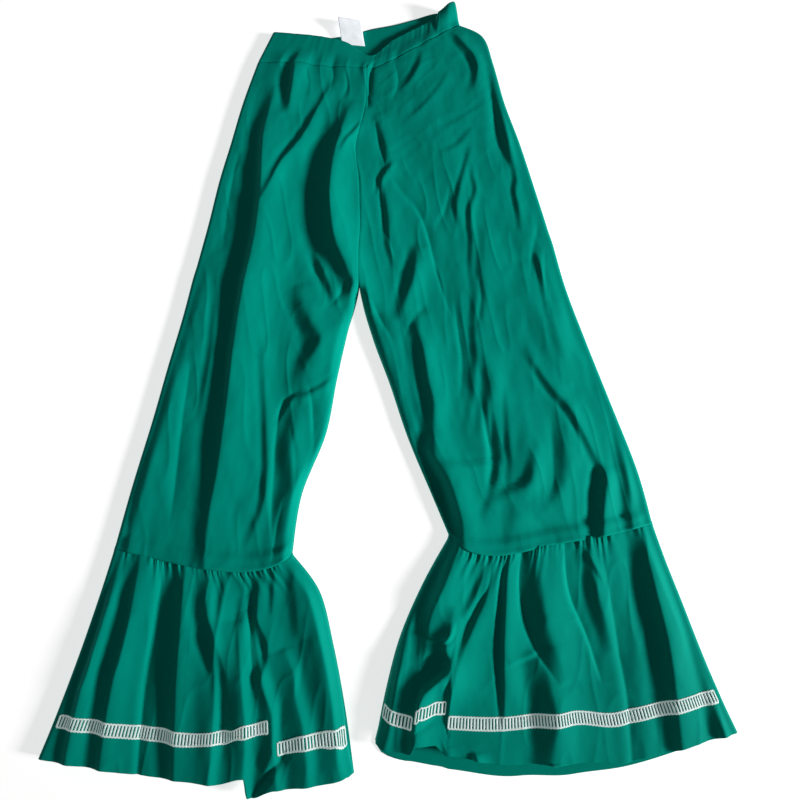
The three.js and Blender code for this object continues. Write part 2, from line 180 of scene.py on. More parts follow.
# Upper edge of the waistband, wearer's right end to left end (mm)
BAND = table(BandStation, [
    (-102.4, 293.6, -102.4, 294),
    (-77, 291, -77, 290.6),
    (-58, 288.4, -58, 290.8),
    (-34, 282.2, -34, 295),
    (-11.4, 268.6, -11.4, 302),
    (9.4, 286, 9.4, 306.6),
    (29, 298, 30, 313),
    (50.5, 309.5, 50.4, 319.8),
    (66.8, 314, 66, 318.6),
])

# Folds of the front. Each row's line is marked in the photograph's 800 x 800 frame (pixels) and carried
# onto the cloth by on_cloth. Fold: crest line, rise, reach of its left and right slopes, depth and reach of
# the hollow on its left (mm). Crease: valley line, depth, reach of its left and right slopes (mm).
LEG_FOLDS = [
    Fold([(277, 84), (270, 112), (264, 140), (262, 190), (256, 240), (246, 286), (238, 330), (229, 400),
        (219, 470), (210, 520), (204, 600)], 8, 5.5, 22, 1.6, 13),
    Fold([(352, 100), (343, 133), (335, 160), (331, 190), (332, 220), (337, 245), (346, 265), (356, 290),
        (366, 316)], 8.6, 6.5, 14, 2.6, 17),
    Fold([(295, 60), (295, 72), (293, 87), (289, 114)], 4.2, 4, 10, 1.5, 9),
    Fold([(335, 78), (320, 105), (307, 130), (296, 146), (283, 162), (272, 185), (258, 210)], 2.6, 2.6, 9,
          0.6, 6),
    Fold([(314, 250), (320, 263), (328, 280), (338, 306)], 2.8, 3, 8, 1, 6),
    Crease([(350, 278), (342, 290), (332, 304)], 1.6, 2.5, 4),
    Fold([(298, 285), (304, 306), (312, 322), (322, 338), (317, 352), (308, 366), (298, 390)], 4.4, 8.5,
          12, 1, 11),
    Fold([(340, 376), (330, 382), (318, 390), (305, 396), (294, 398), (284, 412), (276, 428)], 1.4, 2, 5,
          0.7, 3.4),
    Fold([(263, 340), (265, 375), (267, 430), (268, 470), (265, 500), (257, 524), (244, 550)], 1.5, 3.4,
          5, 0.5, 5),
    Fold([(306, 385), (299, 410), (294, 436), (293, 460), (296, 484), (288, 510), (280, 560)], 4.2, 11, 9,
          0.6, 12),
    Crease([(285, 396), (279, 412), (275, 440), (273, 475), (271, 505), (271, 560)], 1.6, 1.6, 6),
    Crease([(309, 385), (312, 410), (313, 455)], 1.4, 1.6, 4),
    Crease([(291, 425), (295, 455), (296, 500)], 1.2, 1.6, 4),
    Fold([(217, 300), (213, 345), (207, 380), (199, 420)], 1.2, 3, 6, 0.5, 5),
    Crease([(284, 500), (276, 530), (272, 562)], 1.2, 2, 7),
    Crease([(386, 52), (372, 66), (368, 84), (366, 108)], 2.4, 2.4, 3),
    Fold([(364, 122), (358, 132), (350, 142), (342, 156)], 1.3, 2.4, 4, 0.5, 4),
    Fold([(376, 112), (384, 134), (388, 152), (387, 178)], 1.7, 4.5, 9, 0.6, 6),
    Crease([(375, 120), (380, 140), (386, 168)], 1.4, 1.4, 3),
    Fold([(396, 162), (388, 170), (381, 182), (378, 194)], 1.2, 2.6, 4, 0.8, 3.4),
    Fold([(382, 170), (386, 198), (389, 224), (391, 246), (400, 270)], 1.8, 4, 8, 0.7, 5),
    Crease([(378, 178), (382, 206), (386, 230), (396, 258)], 1.4, 1.4, 3),
    Fold([(418, 244), (417, 262), (413, 282), (407, 298), (401, 322)], 3.6, 5.5, 9, 1.1, 8),
    Crease([(388, 172), (404, 194), (417, 208), (427, 231), (434, 260), (441, 286), (453, 318)], 1.3, 1.4,
            5),
    Crease([(450, 186), (448, 198), (443, 213), (434, 228)], 1, 1.3, 4),
    Fold([(473, 160), (474, 174), (477, 189), (472, 206), (471, 222), (473, 241), (472, 267), (474, 286)],
          1.2, 3, 3.4, 0.5, 4),
    Fold([(474, 278), (476, 302), (475, 328), (477, 354), (476, 371), (474, 394), (466, 440)], 1.1, 4, 3,
          0.4, 5),
    Fold([(486, 225), (485, 255), (483, 300), (485, 345)], 1.4, 7, 11, 0.4, 8),
    Fold([(480, 342), (490, 368), (494, 388), (490, 410), (482, 436)], 2.4, 7.5, 9, 0.7, 8),
    Fold([(522, 405), (530, 440), (530, 480), (523, 515), (508, 550)], 2.6, 10, 15, 0, 10),
    Crease([(479, 276), (481, 300), (476, 328)], 1.2, 2, 3),
    Fold([(472, 146), (467, 164), (460, 190), (458, 208), (462, 226)], 1.2, 3, 4, 0.6, 4),
    Fold([(512, 154), (517, 177), (516, 191), (520, 212), (522, 232)], 1.1, 2.6, 4, 0.5, 4),
    Crease([(542, 212), (536, 234), (532, 255), (531, 280)], 0.9, 1.3, 4),
    Crease([(545, 250), (545, 283), (550, 318)], 0.9, 1.3, 4),
    Fold([(452, 30), (464, 44), (474, 56), (478, 70), (474, 90)], 2.6, 2.8, 7, 1, 6),
    Fold([(498, 62), (504, 96), (508, 126), (512, 166)], 3.4, 5, 6, 1, 9),
    Crease([(490, 70), (495, 104), (500, 135), (509, 166)], 2.8, 6, 4),
    Fold([(423, 50), (419, 66), (412, 78), (400, 90)], 1.3, 2.6, 5, 0.5, 5),
    Fold([(452, 68), (438, 90), (424, 106), (400, 126)], 0.5, 1.8, 4, 0.2, 4),
    Fold([(488, 100), (468, 114), (446, 128)], 0.5, 1.8, 4, 0.2, 4),
    Fold([(474, 126), (458, 144), (440, 154)], 0.7, 1.8, 4, 0.3, 4),
    Fold([(413, 312), (420, 336), (425, 356), (429, 380), (434, 402), (435, 432), (436, 462)], 4.8, 5.5,
          11, 1.8, 9),
    Crease([(424, 306), (414, 318), (406, 336)], 1.4, 2, 3),
    Fold([(402, 296), (407, 325), (411, 352), (416, 392), (424, 424), (432, 446)], 1, 3, 4, 0.3, 5),
    Crease([(372, 300), (380, 318), (392, 338)], 1.4, 2, 4),
    Fold([(500, 463), (482, 464), (460, 465), (438, 465)], 1.5, 2.2, 6, 0.6, 3.4),
    Fold([(424, 440), (438, 462), (449, 480), (457, 503), (463, 524), (466, 570)], 6.4, 6, 14, 1.6, 12),
    Crease([(408, 430), (424, 468), (436, 496), (446, 525), (454, 570)], 4.6, 5, 8),
    Fold([(538, 440), (535, 460), (532, 480), (524, 490), (509, 496), (497, 503), (484, 522)], 2.2, 4, 8,
          0.7, 6),
    Crease([(483, 404), (488, 432), (491, 456), (488, 490)], 1.1, 2, 4),
    Fold([(503, 450), (496, 484), (486, 512)], 0.9, 3, 4, 0.4, 4),
    Fold([(507, 392), (509, 427), (510, 446), (512, 465), (509, 494)], 1, 2.6, 5, 0.5, 4),
    Crease([(490, 400), (492, 430), (494, 462), (492, 490)], 1.4, 1.8, 4),
    Fold([(570, 400), (567, 432), (567, 465), (564, 488), (554, 506), (538, 524)], 3, 9, 12, 0.7, 11),
    Crease([(552, 418), (552, 448), (554, 480), (549, 497), (536, 512)], 0.9, 1.6, 4),
    Fold([(526, 350), (538, 368), (552, 388), (568, 406), (583, 432), (600, 464), (612, 490)], 1.9, 3, 7,
          0.7, 5),
    Fold([(520, 262), (534, 300), (548, 328), (562, 355), (574, 388)], 2.4, 13, 16, 0.4, 16),
    Crease([(482, 398), (485, 425), (490, 452), (488, 490)], 1.8, 1.8, 4),
    Fold([(607, 466), (604, 500), (603, 552)], 5, 4, 10, 1.6, 8),
    Fold([(549, 300), (556, 330), (566, 360)], 0.8, 4, 6, 0.4, 6),
    Fold([(536, 250), (540, 262), (543, 280), (548, 310)], 1, 2, 4, 0.4, 4),
    Crease([(455, 300), (458, 330), (462, 360), (460, 400)], 1.4, 1.8, 5),
    Crease([(620, 300), (640, 380), (655, 450), (662, 520)], 1.8, 3, 9),
    Fold([(620, 420), (628, 470), (634, 540)], 2.6, 4, 10, 0.8, 8),
    Fold([(160, 330), (150, 400), (136, 480), (128, 560)], 2.6, 4, 12, 0.8, 9),
    Crease([(190, 360), (180, 430), (170, 520)], 2, 3, 9),
    Crease([(238, 150), (228, 200), (222, 250)], 1.2, 3, 8),
    Crease([(330, 58), (333, 72), (330, 90)], 1, 2, 4),
    Crease([(345, 70), (347, 84), (341, 98)], 1, 2, 4),
    Crease([(308, 62), (307, 74), (310, 86)], 0.8, 2, 4),
    Crease([(395, 62), (398, 80), (392, 100)], 0.9, 2, 5),
]

# Waves of the ruffles, seam to below the hem, in the same columns
RUFFLE_WAVES = [
    Fold([(492, 470), (470, 528), (456, 558), (444, 587), (431, 617), (425, 662)], 6, 4.5, 13, 2, 12),
    Fold([(457, 606), (450, 628), (446, 652), (450, 672), (448, 688), (440, 698), (424, 707), (417, 724),
        (416, 750), (413, 800), (411, 840)], 9, 5.5, 12, 2.2, 18),
    Fold([(430, 640), (416, 680), (404, 700), (398, 740), (396, 790)], 3.6, 16, 8, 0, 12),
    Fold([(426, 634), (440, 643), (449, 638), (453, 622)], 2, 2, 2, 0.8, 3),
    Fold([(503, 500), (497, 562), (492, 582), (485, 603), (475, 625), (467, 645), (459, 668), (450, 705)],
          2.1, 3.2, 9, 1, 6),
    Crease([(492, 556), (489, 585), (478, 605), (468, 625), (459, 650)], 1.6, 1.4, 3),
    Fold([(512, 530), (509, 565), (506, 600), (504, 640), (504, 670), (505, 700), (506, 736)], 2.7, 2.4,
          8, 1.5, 4),
    Crease([(504, 548), (500, 600), (496, 640), (496, 672), (501, 712)], 1.5, 1.4, 2.5),
    Fold([(535, 490), (539, 560), (543, 600), (548, 630), (556, 652), (567, 686)], 5, 9, 13, 1.4, 12),
    Crease([(528, 530), (520, 575), (522, 605), (528, 630), (538, 655), (558, 686)], 2.6, 1.5, 5),
    Fold([(540, 650), (551, 690), (556, 722), (553, 756), (546, 810)], 5.4, 9, 12, 2.4, 14),
    Fold([(508, 666), (524, 660), (542, 650)], 1.2, 1.6, 3, 0.4, 3),
    Crease([(566, 520), (566, 570), (572, 600), (586, 632), (602, 676)], 3.4, 1.5, 9),
    Fold([(590, 500), (592, 560), (600, 600), (614, 650)], 2.6, 5, 9, 1.2, 8),
    Fold([(576, 540), (590, 560), (604, 582)], 1.2, 1.6, 3, 0.4, 3),
    Fold([(484, 530), (485, 565), (479, 590), (464, 620)], 2.2, 2.4, 5, 0.8, 5),
    Fold([(634, 480), (652, 580), (670, 660), (690, 830)], 5.4, 4.5, 14, 2, 12),
    Crease([(604, 560), (618, 640), (628, 700), (636, 830)], 2.4, 3, 9),
    Fold([(668, 480), (694, 590), (718, 700), (742, 830)], 4.4, 4, 10, 1.6, 10),
    Fold([(413, 590), (402, 640), (394, 690), (384, 770)], 2.6, 6, 4, 0.8, 6),
    Crease([(414, 748), (430, 742), (450, 745)], 1.6, 4, 4),
    Fold([(298, 560), (318, 630), (332, 700), (346, 850)], 6.4, 16, 5, 0, 16),
    Fold([(284, 650), (298, 700), (306, 745), (310, 850)], 5.4, 14, 5, 0, 16),
    Fold([(250, 610), (264, 690), (274, 745), (280, 850)], 5.6, 13, 4, 0, 16),
    Fold([(238, 620), (244, 690), (246, 745), (238, 850)], 5.8, 13, 4, 0, 16),
    Fold([(210, 580), (216, 680), (213, 750), (203, 850)], 6, 13, 4, 0, 16),
    Fold([(266, 520), (261, 575), (258, 600), (259, 620), (268, 642), (269, 662), (264, 690), (274, 730)],
          2.8, 3, 10, 1.2, 7),
    Crease([(252, 584), (250, 615), (251, 645), (255, 692)], 1.8, 1.4, 3),
    Fold([(246, 596), (245, 630), (248, 668)], 1.6, 5, 3, 0.6, 6),
    Fold([(229, 520), (226, 575), (223, 600), (219, 635), (213, 672)], 1.7, 2.4, 7, 0.8, 5),
    Fold([(212, 500), (208, 580), (211, 615), (219, 640), (226, 665), (230, 692), (238, 760)], 4.2, 4.5,
          11, 1.8, 10),
    Fold([(277, 520), (275, 575), (273, 616)], 1.5, 2, 5, 0.5, 4),
    Crease([(352, 690), (352, 720), (350, 760)], 0.8, 3, 4),
    Fold([(446, 762), (449, 776), (452, 800)], 1.2, 3, 6, 0.3, 4),
    Fold([(475, 765), (478, 780), (481, 804)], 3.2, 2.5, 6, 0.6, 4),
    Fold([(552, 766), (556, 782), (560, 804)], 3.6, 3, 6, 0.6, 4),
    Crease([(288, 748), (266, 771), (247, 796)], 4.6, 3, 3),
    Fold([(292, 560), (296, 590), (300, 640)], 1.2, 5, 6, 0.4, 6),
    Fold([(192, 500), (184, 600), (178, 700), (174, 830)], 5.4, 4.5, 12, 2, 11),
    Crease([(166, 520), (156, 620), (142, 700), (132, 830)], 4, 2, 9),
    Fold([(150, 500), (132, 620), (112, 700), (94, 830)], 5.4, 4.5, 12, 1.8, 11),
    Fold([(128, 500), (104, 620), (80, 700), (56, 820)], 4, 4, 9, 1.4, 9),
]

# Shifts of the folded-over hems at places across (fraction): stitch line, front's edge, back's edge (mm)
RIGHT_HEM = table(HemStep, [
    (0, -6.5, 2.5, 3),
    (0.03, -2.8, 2.4, 3.3),
    (0.08, -0.6, 2.2, 3.7),
    (0.15, -0.4, 1, 4),
    (0.242, -3.4, -5, 5),
    (0.256, 11, 7, 6),
    (0.35, 7.5, 2, 6),
    (0.41, 3, 2, 5),
    (0.55, -0.5, 1, 4),
    (1, -1, 0, 0),
])
LEFT_HEM = table(HemStep, [
    (0, -1.5, 3, 3),
    (0.086, 1, 8.5, 3),
    (0.096, 6, 9, 3.5),
    (0.112, 9, 15, 3.2),
    (0.165, 13.4, 17, 2.8),
    (0.188, 14, 13, 2.6),
    (0.193, 5, 11.5, 1.6),
    (0.40, 3.2, 4.6, -4),
    (0.55, 1.3, 0.6, -8),
    (0.7, -5.9, -6, -10),
    (1, -6, -4, -6),
])

# Unevenness of the cloth: amount (mm), lean of its grain, stretch along it, lattice size (mm), seed
LEG_RIPPLES = table(Ripple, [
    (0.3, 0, 0.45, 9, 3),
    (0.6, 0.4, 0.3, 23, 5),
    (0.12, 0, 0.6, 4.3, 8),
    (1.3, 0, 0.5, 44, 33),
])
RUFFLE_RIPPLES = table(Ripple, [
    (0.4, 0, 0.4, 13, 23),
    (0.12, 0, 0.6, 5, 24),
])

# Wander of the centre front: sideways shift, place up the garment, reach (mm)
WANDER = [(-5.5, 170, 24), (1.8, 222, 20), (1.6, 96, 22)]

# Ruffles: sideways lean of the hem's folded places, and the runs of ladder stitch (fractions across)
RUFFLES = [
    Ruffle("right", RIGHT_RUFFLE, RIGHT_HEM, 0.47, [(0.004, 0.23), (0.267, 0.994)]),
    Ruffle("left", LEFT_RUFFLE, LEFT_HEM, 0.0, [(0.004, 0.085), (0.097, 0.187), (0.195, 0.994)]),
]


def length_setting(name, text, value, low, high):
    """A length that a user would change, given in millimetres and held in metres."""
    return bpy.props.FloatProperty(name=name, description=text, default=value * MM, min=low * MM,
                                   max=high * MM, unit="LENGTH", precision=5)


def colour_setting(name, text, value):
    return bpy.props.FloatVectorProperty(name=name, description=text, subtype="COLOR", size=3,
                                         default=value, min=0, max=1)


class TrousersSizes(bpy.types.PropertyGroup):
    """Sizes that a user would change."""

    wall: length_setting("Cloth thickness", "Thickness of the jersey", 0.9, 0.3, 3)
    band_wall: length_setting("Waistband thickness", "Thickness of the elastic waistband", 1.5, 0.5, 4)
    slip_wall: length_setting("Label thickness", "Thickness of the care label", 0.6, 0.2, 2)
    level: length_setting("Lying height", "Height of the level front over the surface", 7.2, 3, 15)
    edge: length_setting("Side edge radius", "Radius of the folded side edges", 3.3, 1, 6)
    stitch_width: length_setting("Ladder stitch width", "Width of the hem's ladder stitch", 6.2, 2, 12)
    stitch_pitch: length_setting("Ladder stitch pitch", "Distance between two rungs", 2.15, 1, 6)
    hem: length_setting("Hem depth", "Distance from the hem edge to the middle of the stitch", 25.5, 5, 60)


class TrousersColours(bpy.types.PropertyGroup):
    """Colours that a user would change."""

    jersey: colour_setting("Jersey", "Green of the cloth", (0.0, 0.29, 0.215))
    jersey_worn: colour_setting("Jersey, softer", "Paler green of the rubbed cloth", (0.0005, 0.33, 0.26))
    thread: colour_setting("Thread", "White of the ladder stitch", (0.9, 0.93, 0.93))
    slip: colour_setting("Label", "White of the care label", (0.86, 0.88, 0.93))
    floor: colour_setting("Floor", "Pale surface under the garment", (0.86, 0.86, 0.85))


class Socket:
    """A shader value whose arithmetic adds Math nodes."""

    def __init__(self, tree, socket):
        self.tree = tree
        self.socket = socket

    def _math(self, operation, *values):
        return self.tree.add("ShaderNodeMath", {"operation": operation}, dict(enumerate(values)))

    def __add__(self, other):
        return self._math("ADD", self, other)

    __radd__ = __add__

    def __sub__(self, other):
        return self._math("SUBTRACT", self, other)

    def __rsub__(self, other):
        return self._math("SUBTRACT", other, self)

    def __mul__(self, other):
        return self._math("MULTIPLY", self, other)

    __rmul__ = __mul__

    def sine(self):
        return self._math("SINE", self)

    def absolute(self):
        return self._math("ABSOLUTE", self)

    def turns(self, spacing):
        """Angle that grows by a full turn over each spacing (m)."""
        return self * (2 * math.pi / spacing)


class Shader:
    """One material's node tree."""

    def __init__(self, name):
        self.material = bpy.data.materials.new(name)
        self.material.use_nodes = True
        self.nodes = self.material.node_tree.nodes
        self.links = self.material.node_tree.links
        self.surface = self.nodes["Principled BSDF"]
        self.place = self.add("ShaderNodeTexCoord", output=3)

    def add(self, kind, settings=None, inputs=None, output=0):
        """Adds a node: its settings first, then the values or links of its sockets."""
        node = self.nodes.new(kind)
        for name, value in (settings or {}).items():
            setattr(node, name, value)
        for name, value in (inputs or {}).items():
            self.feed(node.inputs[name], value)
        return Socket(self, node.outputs[output])

    def feed(self, target, value):
        if isinstance(value, Socket):
            self.links.new(value.socket, target)
        else:
            target.default_value = value

    def set(self, **values):
        for name, value in values.items():
            self.feed(self.surface.inputs[name.replace("_", " ")], value)
        return self.material

    def cloth_uv(self):
        """U and V of the cloth (m)."""
        cloth = self.add("ShaderNodeUVMap", {"uv_map": "cloth"})
        node = self.add("ShaderNodeSeparateXYZ", None, {0: cloth}).socket.node
        return [Socket(self, node.outputs[i]) for i in range(2)]

    def noise(self, scale, detail, roughness):
        """Noise in Object coordinates."""
        return self.add("ShaderNodeTexNoise", None,
                        {"Vector": self.place, "Scale": scale, "Detail": detail, "Roughness": roughness})

    def blend(self, mask, first, second):
        colours = {6: (*first, 1), 7: (*second, 1)}
        return self.add("ShaderNodeMix", {"data_type": "RGBA"}, {0: mask, **colours}, 2)

    def bump(self, height, distance, strength, **under):
        return self.add("ShaderNodeBump", None,
                        {"Height": height, "Distance": distance, "Strength": strength, **under})


def jersey_finish(colours):
    """Cotton jersey: fine knit columns along the cloth's own UV, faint crumple and worn patches."""
    shader = Shader("green_jersey")
    u, v = shader.cloth_uv()
    columns = u.turns(1.1 * MM).sine()
    courses = (v.turns(0.9 * MM) + columns * 1.2).sine()
    knit = columns.absolute() * 0.6 + courses * 0.4
    crumple = shader.noise(55.0, 6.0, 0.6)
    worn = shader.noise(14.0, 4.0, 0.6)
    fleck = shader.noise(900.0, 2.0, 0.5)
    mask = worn * 0.75 + fleck * 0.35 - 0.1
    tint = shader.blend(mask, colours.jersey, colours.jersey_worn)
    soft = shader.bump(crumple, 0.5 * MM, 0.6)
    fine = shader.bump(knit, 0.05 * MM, 0.5, Normal=soft)
    shader.set(Base_Color=tint, Roughness=0.62 + fleck * 0.2, Normal=fine)
    return shader.set(Sheen_Weight=0.05, Sheen_Roughness=0.5, Sheen_Tint=(0.0, 1.0, 0.8, 1),
                      Specular_IOR_Level=0.06, Specular_Tint=(0.0, 1.0, 0.75, 1))


def thread_finish(colours):
    """White cotton thread with a fine twist and a faint painted glow."""
    shader = Shader("white_thread")
    twist = shader.noise(2600.0, 2.0, 0.5)
    tone = shader.noise(120.0, 3.0, 0.5)
    tint = shader.blend(tone, colours.thread, (0.42, 0.6, 0.58))
    normal = shader.bump(twist, 0.12 * MM, 0.6)
    # Emission is a painted glow that brightens the thread whatever light falls on it.
    return shader.set(Base_Color=tint, Roughness=0.75, Normal=normal, Sheen_Weight=0.1,
                      Emission_Color=(0.8, 1, 0.97, 1), Emission_Strength=0.2)


def slip_finish(colours):
    """Blank white label ribbon with a faint weave and a painted glare."""
    shader = Shader("white_label_ribbon")
    u, v = shader.cloth_uv()
    weave = u.turns(0.5 * MM).sine() * v.turns(0.5 * MM).sine()
    tone = shader.noise(90.0, 3.0, 0.5)
    tint = shader.blend(tone, colours.slip, (0.7, 0.73, 0.78))
    normal = shader.bump(weave, 0.04 * MM, 0.5)
    # Emission is a painted glare that lightens the label whatever light falls on it.
    return shader.set(Base_Color=tint, Roughness=0.48, Normal=normal, Emission_Color=(0.9, 0.95, 1, 1),
                      Emission_Strength=0.42)


def floor_finish(colours):
    """Pale matte backdrop."""
    shader = Shader("pale_floor")
    tone = shader.noise(3.0, 2.0, 0.5)
    tint = shader.blend(tone, colours.floor, (0.82, 0.82, 0.82))
    return shader.set(Base_Color=tint, Roughness=0.9, Emission_Color=(1, 1, 1, 1), Emission_Strength=0.7)


def ease(t):
    """3t^2 - 2t^3 with t held between 0 and 1."""
    t = np.clip(t, 0, 1)
    return t * t * (3 - 2 * t)


def rounded(t):
    """Quarter circle that rises from 0 to 1."""
    return np.sqrt(1 - (1 - np.clip(t, 0, 1)) ** 2)


def bell(t, power=2.0):
    """exp(-|t|^power)."""
    return np.exp(-np.abs(t) ** power)


def through(values, t):
    """Catmull-Rom curve through evenly spaced rows of values, at fractions t of its length."""
    values = np.asarray(values, float)
    last = len(values) - 1
    place = np.clip(t, 0, 1) * last
    i = np.minimum(place.astype(int), last - 1)
    f = (place - i)[..., None]
    a, b = values[np.maximum(i - 1, 0)], values[i]
    c, d = values[i + 1], values[np.minimum(i + 2, last)]
    return b + 0.5 * f * (c - a + f * (2 * a - 5 * b + 4 * c - d + f * (3 * (b - c) + d - a)))


def sagging(across):
    """sin(pi across^0.6): 0 at both ends, highest nearer the inner edge."""
    return np.sin(math.pi * np.clip(across, 0, 1) ** 0.6)


def to_frame(points):
    """Millimetres of the tables to metres of the frame."""
    return (points - np.array([*MIDDLE, 0])) * MM


def new_object(name, data):
    thing = bpy.data.objects.new(name, data)
    bpy.context.scene.collection.objects.link(thing)
    return thing


def lattice_noise(x, y, size, seed):
    """Smooth noise from -1 to 1 between seeded random values on a square lattice of the given size."""
    grid = np.random.default_rng(seed).uniform(-1, 1, (97, 97))
    gx, gy = x / size + 1000, y / size + 1000
    ix, iy = np.floor(gx).astype(int), np.floor(gy).astype(int)
    fx, fy = ease(gx - ix), ease(gy - iy)
    a, b = grid[ix % 97, iy % 97], grid[(ix + 1) % 97, iy % 97]
    c, d = grid[ix % 97, (iy + 1) % 97], grid[(ix + 1) % 97, (iy + 1) % 97]
    return (a + (b - a) * fx) * (1 - fy) + (c + (d - c) * fx) * fy


def nearest(path, x, y):
    """Distance to a line of points, the side it lies on, and the fraction along at the nearest place."""
    away = np.full(x.shape, np.inf)
    side = np.ones(x.shape)
    along = np.zeros(x.shape)
    for k in range(len(path) - 1):
        ax, ay = path[k]
        dx, dy = path[k + 1] - path[k]
        t = np.clip(((x - ax) * dx + (y - ay) * dy) / (dx * dx + dy * dy), 0, 1)
        distance = np.hypot(x - ax - t * dx, y - ay - t * dy)
        closer = distance < away
        away = np.where(closer, distance, away)
        side = np.where(closer, np.where(dx * (y - ay) - dy * (x - ax) < 0, -1, 1), side)
        along = np.where(closer, (k + t) / (len(path) - 1), along)
    return away, side, along


def on_cloth(path):
    """Marked places (pixels), carried along the camera's rays down to the folds' height (mm).

    A ray's slopes are the distances from the middle of the frame over the focal length, then tilted.
    """
    x, y = np.array(path, float).T
    focal = HALF_FRAME / math.tan(HALF_VIEW)
    aside, up = (x - HALF_FRAME) / focal, (HALF_FRAME - y) / focal
    far = (EYE[2] - FOLD_HEIGHT) / (math.cos(TILT) - up * math.sin(TILT))
    return np.stack([EYE[0] + far * aside, EYE[1] + far * (up * math.cos(TILT) + math.sin(TILT))], -1)


def relief(folds, x, y):
    """Sum of the folds, each scaled by sin(pi t)^0.7 along its line.

    A fold rises as exp(-(d/reach)^1.7) on either side of its crest, less a hollow on its left.
    A crease falls as exp(-(d/reach)^1.2) on either side of its valley line.
    """
    z = np.zeros_like(x)
    for fold in folds:
        path = through(on_cloth(fold.path), np.linspace(0, 1, 5 * len(fold.path)))
        pad = 2.8 * max(fold[2:] if isinstance(fold, Crease) else (fold.left, fold.right, fold.reach))
        near = ((x > path[:, 0].min() - pad) & (x < path[:, 0].max() + pad)
                & (y > path[:, 1].min() - pad) & (y < path[:, 1].max() + pad))
        if not near.any():
            continue
        away, side, along = nearest(path, x[near], y[near])
        taper = np.sin(math.pi * along) ** 0.7
        scaled = away / np.where(side < 0, fold.left, fold.right)
        if isinstance(fold, Crease):
            z[near] -= taper * fold.depth * bell(scaled, 1.2)
        else:
            hollow = bell((side * away + fold.reach) / (0.55 * fold.reach))
            z[near] += taper * (fold.rise * bell(scaled, 1.7) - fold.hollow * hollow)
    return z


def settle(z, lowest=2.1, softness=0.4):
    """Keeps the front layer clear of the back layer with a soft lower limit."""
    over = z - lowest
    return lowest + 0.5 * (over + np.sqrt(over * over + softness))


def along_hem(steps, column, across):
    """One column of a hem table, eased from each place across to the next."""
    places = np.array([s.across for s in steps], float)
    values = np.array([getattr(s, column) for s in steps], float)
    i = np.clip(np.searchsorted(places, across, side="right") - 1, 0, len(places) - 2)
    f = ease((across - places[i]) / (places[i + 1] - places[i]))
    return values[i] + (values[i + 1] - values[i]) * f


def hem_shift(steps, lean, down, across):
    """Shift of the front: grows to the stitch line's value, then passes over to the edge's value."""
    across = across - lean * (down - STITCH_DOWN)
    stitch = along_hem(steps, "stitch", across)
    edge = along_hem(steps, "edge", across)
    return stitch * ease((down - 0.35) / 0.4) + (edge - stitch) * ease((down - 0.83) / 0.17)


def rolled_edge(points, inward, radius, steps):
    """Half turn from each point of the front's end, away from the points inward of it, down to the back."""
    out = points[:, :2] - inward[:, :2]
    out /= np.linalg.norm(out, axis=1, keepdims=True)
    angle = math.pi * (0.5 - np.arange(1, steps) / steps)[None, :]
    reach = radius * np.cos(angle)
    return np.stack([points[:, :1] + reach * out[:, :1], points[:, 1:2] + reach * out[:, 1:],
                     points[:, 2:] / 2 * (1 + np.sin(angle))], -1)


def sewn_below(y):
    """0 above the crotch, 1 where the inseam is closed."""
    return ease((CROTCH_Y - y) / CROTCH_BLEND)


class LaidTube:
    """Cloth tube laid flat: uneven front, side edge rolled round, back on the surface."""

    def __init__(self, sections, sizes, lift):
        self.sections = sections
        self.edge = sizes.edge / MM
        self.level = sizes.level / MM
        self.lift = lift

    def plan(self, down, across, back=False):
        """Straight row from the inner edge to the middle of the rolled edge, with the table's sag."""
        down, across = np.broadcast_arrays(down, across)
        s = through(self.sections, down)
        length = np.hypot(s[..., 0] - s[..., 2], s[..., 1] - s[..., 3])
        lap = LAP - LAP_LOSS * sewn_below(s[..., 3])
        reach = across * (1 - self.edge / length) - lap / length
        sag = 0 if back else s[..., 4] * sagging(across)
        x = s[..., 2] + (s[..., 0] - s[..., 2]) * reach
        y = s[..., 3] + (s[..., 1] - s[..., 3]) * reach + sag
        return x, y, length, s

    def front(self, down, across):
        """Level cloth between its edges plus the piece's own lift."""
        x, y, length, s = self.plan(down, across)
        down, across = np.broadcast_arrays(down, across)
        sewn = sewn_below(s[..., 3])
        side = ease((1 - across) * length / EDGE_RISE)
        inner = rounded(across * length / INSEAM_RISE)
        high = 2 * self.edge + (self.level - 2 * self.edge) * side
        base = high + sewn * (INSEAM_TOP + (high - INSEAM_TOP) * inner - high)
        from_inseam = ease(across * length / INSEAM_FADE)
        mask = ease((1 - across) * length / SIDE_FADE) * (1 - sewn + sewn * from_inseam)
        dx, dy, dz = self.lift(down, across, x, y, length, mask)
        return np.stack([x + dx, y + dy, settle(base + dz)], -1)

    def back(self, down, across, shift):
        """Flat on the surface, shifted up the garment."""
        x, y, _, _ = self.plan(down, across, back=True)
        return np.stack([x, y + shift(down, across), np.zeros_like(x)], -1)

    def rows(self, row_count, front_count, roll_count, back_count, back_shift):
        """Front from the inner edge out, round the side edge, and back under to the inner edge."""
        down = np.linspace(0, 1, row_count)[:, None]
        across = np.linspace(0, 1, front_count)[None, :]
        front = self.front(down, across)
        roll = rolled_edge(front[:, -1], front[:, -4], self.edge, roll_count)
        across = np.linspace(1, 0, back_count)[None, :]
        return np.concatenate([front, roll, self.back(down, across, back_shift)], 1)


